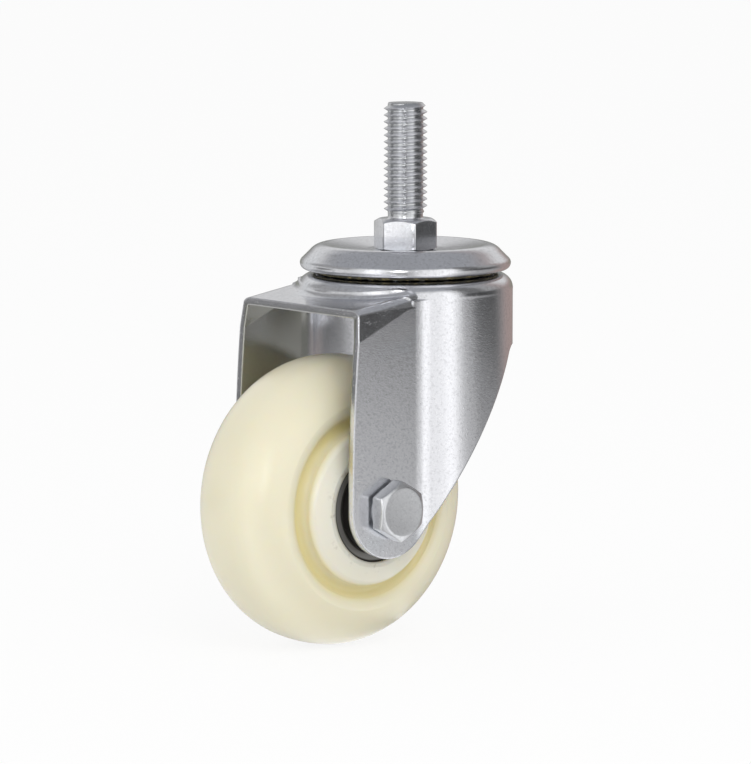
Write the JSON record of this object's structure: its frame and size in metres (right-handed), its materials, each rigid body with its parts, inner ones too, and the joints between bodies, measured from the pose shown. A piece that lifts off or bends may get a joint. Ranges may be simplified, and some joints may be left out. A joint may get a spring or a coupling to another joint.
{
  "type": "stem castor",
  "caption": "Swivel castor: threaded stem with a hexagon collar, ball-race cap, pressed zinc-plated yoke and a one-piece nylon wheel on ball bearings.",
  "frame": {"origin": "on the swivel axis at the top face of the hexagon collar, where the stem starts", "axes": "+Z along the stem away from the wheel, the wheel trails to -X, the axle lies along Y with the bolt's head at -Y"},
  "size_m": [0.0968, 0.0677, 0.1478],
  "materials": {
    "zinc_plate": "bright zinc plate",
    "bolt_zinc": "zinc plate, satin",
    "stem_zinc": "zinc plate on a rolled thread",
    "ball_steel": "polished, greased",
    "ring_steel": "ground bearing steel",
    "shield_steel": "pressed, dark",
    "cage_brass": "pressed",
    "nylon": "satin moulded, cream",
    "insert_nylon": "plain"
  },
  "bodies": {
    "mount": {"stem": "stem_zinc", "top_cap": "zinc_plate", "lower_cup": "zinc_plate"},
    "swivel_balls": {"upper_balls": "ball_steel", "lower_balls": "ball_steel"},
    "fork": {"yoke": "zinc_plate", "axle_bolt": "bolt_zinc", "lock_nut": "bolt_zinc", "nut_insert": "insert_nylon", "spacer_tube": "bolt_zinc", "near_spacer": "bolt_zinc", "far_spacer": "bolt_zinc", "near_inner_ring": "ring_steel", "far_inner_ring": "ring_steel"},
    "bearing_balls": {"near_bearing_balls": "ball_steel", "far_bearing_balls": "ball_steel", "near_cage": "cage_brass", "far_cage": "cage_brass"},
    "wheel": {"wheel": "nylon", "near_outer_ring": "ring_steel", "far_outer_ring": "ring_steel", "near_shields": "shield_steel", "far_shields": "shield_steel"}
  },
  "joints": [
    {"name": "swivel", "type": "hinge", "parent": "mount", "child": "fork", "pos_m": [0, 0, 0], "axis": [0, 0, 1], "continuous": true},
    {"name": "wheel_spin", "type": "hinge", "parent": "fork", "child": "wheel", "pos_m": [-0.027, 0, -0.0758], "axis": [0, 1, 0], "continuous": true},
    {"name": "swivel_ball_orbit", "type": "hinge", "parent": "mount", "child": "swivel_balls", "pos_m": [0, 0, 0], "axis": [0, 0, 1], "continuous": true},
    {"name": "bearing_ball_orbit", "type": "hinge", "parent": "fork", "child": "bearing_balls", "pos_m": [-0.027, 0, -0.0758], "axis": [0, 1, 0], "continuous": true}
  ],
  "couplings": [
    {"joint": "swivel_ball_orbit", "follows": "swivel", "ratio": 0.5},
    {"joint": "bearing_ball_orbit", "follows": "wheel_spin", "ratio": 0.619}
  ]
}
